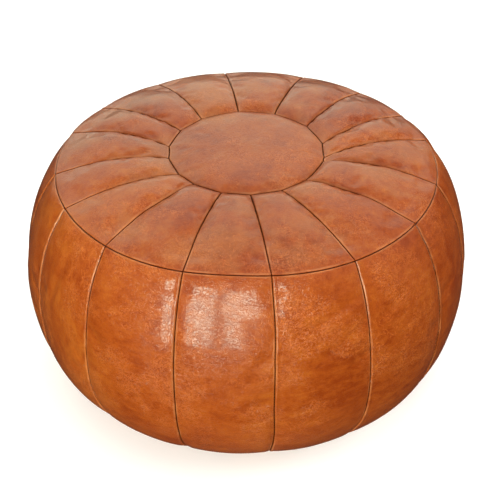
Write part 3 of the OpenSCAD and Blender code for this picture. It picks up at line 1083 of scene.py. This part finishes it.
class Graph:
    """The node tree of a material or a world, with short ways to add and join nodes."""

    def __init__(self, owner):
        owner.use_nodes = True
        self.tree = owner.node_tree
        self.coordinates = self.node("ShaderNodeTexCoord")
        self.place = self.coordinates.outputs["Object"]

    def feed(self, node, inputs):
        """Links or sets a node's inputs."""
        for key, value in inputs.items():
            if isinstance(value, bpy.types.NodeSocket):
                self.tree.links.new(value, node.inputs[key])
            else:
                node.inputs[key].default_value = value

    def node(self, kind, inputs=None, **settings):
        made = self.tree.nodes.new(kind)
        for key, value in settings.items():
            setattr(made, key, value)
        self.feed(made, inputs or {})
        return made

    def noise(self, scale, detail=3, roughness=0.5, distortion=0, at=None):
        inputs = {"Vector": at or self.place, "Scale": scale, "Detail": detail, "Roughness": roughness,
            "Distortion": distortion}
        return self.node("ShaderNodeTexNoise", inputs).outputs["Fac"]

    def cells(self, scale):
        inputs = {"Vector": self.place, "Scale": scale}
        return self.node("ShaderNodeTexVoronoi", inputs, feature="SMOOTH_F1").outputs["Distance"]

    def stretched(self, scale):
        return self.node("ShaderNodeMapping", {"Vector": self.place, "Scale": scale}).outputs["Vector"]

    def math(self, operation, a, b=0.0, c=0.0):
        return self.node("ShaderNodeMath", {0: a, 1: b, 2: c}, operation=operation).outputs[0]

    def times(self, a, b):
        return self.math("MULTIPLY", a, b)

    def ridge(self, value, half_width):
        """1 where a value is in the middle of its range, down to 0 half a width away."""
        off = self.math("ABSOLUTE", self.math("SUBTRACT", value, 0.5))
        return self.between(off, 0.0, half_width, 1.0, 0.0)

    def between(self, value, low, high, to_low=0.0, to_high=1.0):
        inputs = {"Value": value, "From Min": low, "From Max": high, "To Min": to_low, "To Max": to_high}
        return self.node("ShaderNodeMapRange", inputs, interpolation_type="SMOOTHSTEP").outputs[0]

    def mix(self, share, a, b):
        """A mix of two colours, by its inputs' numbers, as both kinds of input share their names."""
        return self.node("ShaderNodeMix", {0: share, 6: a, 7: b}, data_type="RGBA").outputs[2]

    def attribute(self, name):
        return self.node("ShaderNodeAttribute", attribute_name=name).outputs["Fac"]

    def bump(self, height, distance, strength=1.0, under=None):
        inputs = {"Height": height, "Distance": distance, "Strength": strength}
        if under is not None:
            inputs["Normal"] = under
        return self.node("ShaderNodeBump", inputs).outputs["Normal"]


class Surface(Graph):
    """A new material, with its shader."""

    def __init__(self, name):
        self.material = bpy.data.materials.new(name)
        super().__init__(self.material)
        self.shader = self.tree.nodes["Principled BSDF"]

    def finish(self, colour, roughness, **others):
        """Sets the shader's inputs, named with _ for a space, and gives the material."""
        inputs = {"Base_Color": colour, "Roughness": roughness, **others}
        self.feed(self.shader, {key.replace("_", " "): value for key, value in inputs.items()})
        return self.material


def rgb(red, green, blue):
    return (red, green, blue, 1.0)


# What wear, wax and painted light add to the leather's own colours: a painted sheen, edges partly rubbed
# and partly a painted highlight, and dark wax that is partly painted seam shade
PAINTED_SHEEN = rgb(0.34, 0.145, 0.050)
RUBBED_AND_HIGHLIT = rgb(0.52, 0.21, 0.08)
DARK_WAX_AND_SEAM_SHADE = rgb(0.060, 0.0070, 0.001)
GOLDEN_GLOSS = rgb(1.0, 0.93, 0.72)


def leather_material(name, light, middle, dark):
    """Waxed full-grain leather: mottled, finely grained, with pale creases, painted glints on its grain,
    a painted sheen on the top, seam edges partly painted as highlight, and dark seams that are partly
    painted shade.
    """
    g = Surface(name)
    seam = g.attribute("seam_mm")
    tone = g.attribute("tone")
    clouds = g.noise(9, 2, 0.5, 0.6)
    lying = g.noise(52, 7, 0.74, 0.3, at=g.stretched((1.0, 1.0, 1.9)))
    standing = g.noise(58, 7, 0.74, 0.3, at=g.stretched((1.5, 1.5, 0.7)))
    upright = g.between(tone, 0.25, 0.31)
    mottle = g.math("ADD", g.times(standing, upright),
        g.times(lying, g.math("SUBTRACT", 1.0, upright)))
    shade = g.math("MULTIPLY_ADD", clouds, 0.38, g.times(mottle, 0.62))
    shade = g.math("MULTIPLY_ADD", tone, 0.09, shade)
    colour = g.mix(g.between(shade, 0.37, 0.52), dark, middle)
    colour = g.mix(g.between(shade, 0.49, 0.67), colour, light)

    # Grain: fine pale ridges, partly pull-up crackle and partly painted glints on the raised grain, the
    # most in patches, with dark flecks
    patches = g.between(g.noise(17, 4, 0.65), 0.46, 0.64)
    ridges = g.ridge(g.noise(250, 1.5, 0.5, 1.2, at=g.stretched((1.0, 1.0, 1.5))), 0.09)
    pale = rgb(*(min(1.0, 1.55 * c + 0.012) for c in light[:3]))
    colour = g.mix(g.times(ridges, g.math("MULTIPLY_ADD", patches, 0.52, 0.06)), colour, pale)
    flecks = g.between(g.noise(210, 3, 0.6, 0.6), 0.56, 0.66)
    colour = g.mix(g.times(flecks, 0.34), colour, dark)

    # Fine wandering creases, in places
    crease = g.ridge(g.noise(30, 5, 0.62, 1.4), 0.010)
    crease = g.times(crease, g.between(g.noise(13, 2), 0.50, 0.62, 0.0, 0.6))
    colour = g.mix(crease, colour, pale)

    # A painted sheen in pale patches on the top, rubbed leather along the seams that is partly a painted
    # highlight on their lips, and dark wax in them that is partly painted shade of the seam groove
    height = g.node("ShaderNodeSeparateXYZ", {0: g.place}).outputs[2]
    # The pale patches on the top are a painted sheen.
    painted_sheen = g.times(g.between(g.noise(13, 5, 0.66), 0.47, 0.64, 0.0, 0.28),
        g.between(height, RIM_Z - 2 * MM, RIM_Z + 12 * MM))
    colour = g.mix(painted_sheen, colour, PAINTED_SHEEN)
    # The band along the seams is partly rubbed leather and partly a painted highlight on the lips of the
    # seams.
    rub_and_highlight_strength = g.between(g.noise(38, 2), 0.38, 0.62, 0.08, 0.42)
    rubbed_and_highlit_band = g.times(g.between(seam, 1.2, 3.6, 1.0, 0.0), g.between(seam, 0.5, 1.1))
    colour = g.mix(g.times(rubbed_and_highlit_band, rub_and_highlight_strength), colour, RUBBED_AND_HIGHLIT)
    # The dark band in the seams is partly dark wax and partly painted shade of the seam groove.
    colour = g.mix(g.between(seam, 0.15, 0.95, 0.98, 0.0), colour, DARK_WAX_AND_SEAM_SHADE)

    broad = g.bump(g.noise(85, 4, 0.6, 0.8), 1.0 * MM, 0.12)
    depth = g.math("MULTIPLY_ADD", patches, 0.5, 0.4)
    normal = g.bump(g.cells(560), 0.3 * MM, 0.5, g.bump(ridges, 0.3 * MM, depth, broad))
    return g.finish(colour, g.math("MULTIPLY_ADD", mottle, 0.25, 0.20), Normal=normal,
        Specular_IOR_Level=0.10, Specular_Tint=GOLDEN_GLOSS, Coat_Weight=0.8, Coat_Roughness=0.11,
        Coat_IOR=1.45, Coat_Normal=g.bump(ridges, 0.26 * MM, depth))


def brass_material(name):
    """Antique brass: rubbed bright in places, tarnished brown in others."""
    g = Surface(name)
    tarnish = g.between(g.noise(260, 5, 0.65), 0.42, 0.62)
    colour = g.mix(tarnish, rgb(0.72, 0.50, 0.22), rgb(0.36, 0.22, 0.09))
    scuffs = g.noise(900, 3, 0.7, at=g.stretched((0.15, 1.0, 1.0)))
    roughness = g.math("MULTIPLY_ADD", tarnish, 0.25, g.times(scuffs, 0.36))
    return g.finish(colour, roughness, Normal=g.bump(scuffs, 0.06 * MM, 0.5), Metallic=0.75)


# Half width of the twill's chevrons, and its threads' spacing
CHEVRON = 1.2 * MM
TWILL = 0.9 * MM


def tape_material(name):
    """Herringbone twill in dark brown, with its ribs along the zip."""
    g = Surface(name)
    parts = g.node("ShaderNodeSeparateXYZ", {0: g.place})
    x, y = parts.outputs[0], parts.outputs[1]
    chevron = g.math("PINGPONG", y, CHEVRON)
    twill = g.math("FRACT", g.times(g.math("ADD", x, chevron), 1 / TWILL))
    thread = g.math("PINGPONG", twill, 0.5)
    fade = g.noise(120, 4, 0.6)
    colour = g.mix(g.between(thread, 0.02, 0.4), rgb(0.018, 0.007, 0.003), rgb(0.085, 0.034, 0.013))
    colour = g.mix(g.between(fade, 0.4, 0.7, 0.0, 0.4), colour, rgb(0.12, 0.055, 0.024))
    return g.finish(colour, 0.85, Normal=g.bump(thread, 0.25 * MM, 0.9), Specular_IOR_Level=0.2,
        Sheen_Weight=0.25)


# Radians of thread twist, and of the calico's weave, for each millimetre
TWIST = 7.0
WEAVE = 9.0


def thread_material(name):
    """Waxed two-ply thread, twisted along its length."""
    g = Surface(name)
    twist = g.math("SINE", g.times(g.attribute("along_mm"), TWIST))
    colour = g.mix(g.between(twist, -1.0, 1.0), rgb(0.030, 0.006, 0.002), rgb(0.12, 0.025, 0.006))
    colour = g.mix(g.between(g.noise(200, 3), 0.4, 0.7, 0.0, 0.5), colour, rgb(0.06, 0.013, 0.004))
    return g.finish(colour, 0.5, Normal=g.bump(twist, 0.12 * MM, 0.8), Specular_IOR_Level=0.4)


def calico_material(name):
    """Unbleached cotton in a plain weave, with slubs and dark seed specks."""
    g = Surface(name)
    warp, weft = (
        g.math("SINE", g.times(g.attribute(way), WEAVE)) for way in ("across_mm", "along_mm"))
    weave = g.times(warp, weft)
    slub = g.noise(60, 5, 0.65, at=g.stretched((1.0, 1.0, 6.0)))
    colour = g.mix(g.between(slub, 0.35, 0.7), rgb(0.72, 0.63, 0.47), rgb(0.86, 0.80, 0.67))
    colour = g.mix(g.between(weave, -1.0, 1.0, 0.18, 0.0), colour, rgb(0.50, 0.42, 0.30))
    seeds = g.between(g.noise(420, 2, 0.5), 0.70, 0.76)
    colour = g.mix(g.times(seeds, 0.7), colour, rgb(0.22, 0.13, 0.06))
    return g.finish(colour, 0.9, Normal=g.bump(weave, 0.12 * MM, 0.8), Specular_IOR_Level=0.15,
        Sheen_Weight=0.2)


def wadding_material(name):
    """Loose cotton and fabric waste, in soft fibres and tufts."""
    g = Surface(name)
    tufts = g.noise(45, 6, 0.7, 0.8)
    fibres = g.noise(420, 4, 0.75, 2.5)
    colour = g.mix(g.between(tufts, 0.38, 0.62), rgb(0.60, 0.56, 0.49), rgb(0.88, 0.86, 0.80))
    colour = g.mix(g.between(fibres, 0.45, 0.7, 0.0, 0.35), colour, rgb(0.95, 0.94, 0.90))
    normal = g.bump(fibres, 0.6 * MM, 0.8, g.bump(tufts, 3 * MM, 0.6))
    return g.finish(colour, 0.95, Normal=normal, Specular_IOR_Level=0.1, Sheen_Weight=0.4)


LIGHT_TAN = rgb(0.330, 0.077, 0.009)
MIDDLE_TAN = rgb(0.262, 0.047, 0.0048)
DARK_TAN = rgb(0.190, 0.026, 0.0025)
MATERIALS = {
    "cover_leather": leather_material("tan_leather", LIGHT_TAN, MIDDLE_TAN, DARK_TAN),
    "base_leather": leather_material("base_leather", MIDDLE_TAN, DARK_TAN, rgb(0.12, 0.018, 0.003)),
    "zip_brass": brass_material("antique_brass"),
    "zip_tape": tape_material("woven_tape"),
    "waxed_thread": thread_material("waxed_thread"),
    "calico": calico_material("calico"),
    "wadding": wadding_material("wadding"),
}


def paint(pieces, slot):
    for piece in pieces:
        piece.data.materials.clear()
        piece.data.materials.append(MATERIALS[slot])


# -------- stage, light and camera

CAMERA_TARGET = Vector((0.0, 0.0, 0.147))
CAMERA_AIM = Vector((0.0046, 0.0065, 0.156))
CAMERA_DISTANCE = 2.24
CAMERA_ELEVATION = math.radians(35.7)
CAMERA_LENS = 123.5


def make_camera():
    camera = new_object("camera", bpy.data.cameras.new("camera"))
    camera.data.lens = CAMERA_LENS
    camera.data.sensor_width = 36
    away = Vector((0, -math.cos(CAMERA_ELEVATION), math.sin(CAMERA_ELEVATION)))
    camera.location = CAMERA_TARGET + CAMERA_DISTANCE * away
    camera.rotation_euler = (CAMERA_AIM - camera.location).to_track_quat("-Z", "Y").to_euler()
    bpy.context.scene.camera = camera


# The floor takes the pouf's shadow, and is clear from below, so that the base can be looked at.
# What it would throw back at the pouf comes from the world and from the light below. It glows more
# further away, between these two distances, where the lights don't reach, so that it stays white.
FLOOR_SIZE = 30
FLOOR_PALE = 0.72
FLOOR_GLOW = 0.36
GLOW_GROWS = (1.2, 4.0)
WHITE = rgb(1, 1, 1)


def make_floor():
    bpy.ops.mesh.primitive_plane_add(size=FLOOR_SIZE)
    floor = bpy.context.object
    floor.name = "floor"
    floor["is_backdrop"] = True
    g = Surface("floor_paper")
    away = g.node("ShaderNodeVectorMath", {0: g.place}, operation="LENGTH").outputs["Value"]
    glow = g.between(away, *GLOW_GROWS, FLOOR_GLOW, 1.0)
    paper = g.finish(rgb(FLOOR_PALE, FLOOR_PALE, FLOOR_PALE), 0.95, Specular_IOR_Level=0.1,
        Emission_Color=WHITE, Emission_Strength=glow)
    see_through = g.node("ShaderNodeBsdfTransparent").outputs[0]
    below = g.node("ShaderNodeNewGeometry").outputs["Backfacing"]
    face = g.node("ShaderNodeMixShader", {0: below, 1: g.shader.outputs[0], 2: see_through})
    g.tree.links.new(face.outputs[0], g.tree.nodes["Material Output"].inputs["Surface"])
    floor.data.materials.append(paper)
    for ray in ("diffuse", "glossy", "transmission", "shadow"):
        setattr(floor, f"visible_{ray}", False)
    return floor


def softbox(name, place, colour, mirrored, onto=None):
    """A rectangular light that faces the pouf's middle, at a place as in the tables below.

    It shows as a reflection on gloss only where mirrored is true, and lights only the pieces in
    onto, where that is given.
    """
    azimuth, elevation, distance, width, height, radiance = place
    lamp = bpy.data.lights.new(name, "AREA")
    lamp.shape = "RECTANGLE"
    lamp.size, lamp.size_y = width, height
    lamp.energy = radiance * math.pi * width * height
    lamp.color = colour
    holder = new_object(name, lamp)
    holder.visible_camera = False
    holder.visible_glossy = mirrored
    if onto is not None:
        lit = bpy.data.collections.new(f"lit_by_{name}")
        for piece in onto:
            lit.objects.link(piece)
        holder.light_linking.receiver_collection = lit
    a, e = math.radians(azimuth), math.radians(elevation)
    way = Vector((math.cos(a) * math.cos(e), math.sin(a) * math.cos(e), math.sin(e)))
    holder.location = CAMERA_TARGET + distance * way
    holder.rotation_euler = (-way).to_track_quat("-Z", "Y").to_euler()


SKY_LOW = 0.03
SKY_HIGH = 0.5


def make_world():
    """A white backdrop that lights the pouf more from above than from the sides."""
    world = bpy.data.worlds.new("studio")
    bpy.context.scene.world = world
    g = Graph(world)
    parts = g.node("ShaderNodeSeparateXYZ", {0: g.coordinates.outputs["Generated"]})
    inputs = {"Value": parts.outputs[2], "From Min": 0.1, "From Max": 0.8, "To Min": SKY_LOW,
        "To Max": SKY_HIGH}
    sky = g.node("ShaderNodeMapRange", inputs).outputs[0]
    seen = g.node("ShaderNodeLightPath").outputs["Is Camera Ray"]
    strength = g.node("ShaderNodeMix", {0: seen, 2: sky, 3: 1.0}).outputs[0]
    g.feed(g.tree.nodes["Background"], {"Color": WHITE, "Strength": strength})


PLAIN = (1.0, 1.0, 1.0)
WARM = (1.0, 0.95, 0.74)
PALE_GOLD = (0.95, 1.0, 0.80)

# Each light's direction from the pouf in degrees, anticlockwise from +X and up from the floor, then
# its distance, width, height and radiance. The windows are the two that the photo's leather mirrors.
WINDOWS = {
    "window_left": (-114.5, 9, 2.6, 0.74, 1.75, 15.5),
    "window_right": (-95, 10, 2.6, 0.37, 1.65, 15.5),
    "window_corner": (-86.5, 20, 2.6, 0.40, 0.75, 15.5),
}
TOP_FILL = (-100, 14, 2.4, 1.6, 1.6, 8.8)
PANES = {
    "back_panel": (100, 36, 2.4, 4.6, 3.2, 1.0),
    "high_panel": (100, 58, 2.4, 2.6, 1.5, 0.55),
    "low_panel": (100, 8, 2.4, 2.0, 0.9, 0.45),
}
FILLS = {
    "overhead": (-90, 80, 2.3, 2.2, 1.8, 1.6),
    "left_fill": (-165, 15, 2.4, 1.6, 1.6, 2.0),
    "right_fill": (5, 15, 2.4, 2.0, 1.6, 6.6),
    "from_below": (-90, -89, 2.4, 2.0, 2.0, 5.0),
}


def make_lights(top, others):
    """The windows don't shine on the top, which would be all glare from behind the pouf."""
    for name, place in WINDOWS.items():
        softbox(name, place, PALE_GOLD, True, others)
    softbox("top_fill", TOP_FILL, PLAIN, False, top)
    for name, place in PANES.items():
        softbox(name, place, WARM, True)
    for name, place in FILLS.items():
        softbox(name, place, PLAIN, False)


def main():
    make_camera()
    make_world()
    cover = make_cover()
    base = [make_base(-1, "base_panel_front"), make_base(1, "base_panel_rear")]
    tapes, metal = make_zip()
    paint(cover, "cover_leather")
    paint(base, "base_leather")
    paint(tapes, "zip_tape")
    paint(metal, "zip_brass")
    paint(make_threads(), "waxed_thread")
    paint(make_bag(), "calico")
    paint([make_filling()], "wadding")
    floor = make_floor()
    top = [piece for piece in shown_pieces() if piece.name.startswith("leather_top")]
    make_lights(top, [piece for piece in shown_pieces() if piece not in top] + [floor])
    view = bpy.context.scene.view_settings
    view.view_transform = "Standard"
    view.look = "None"


main()
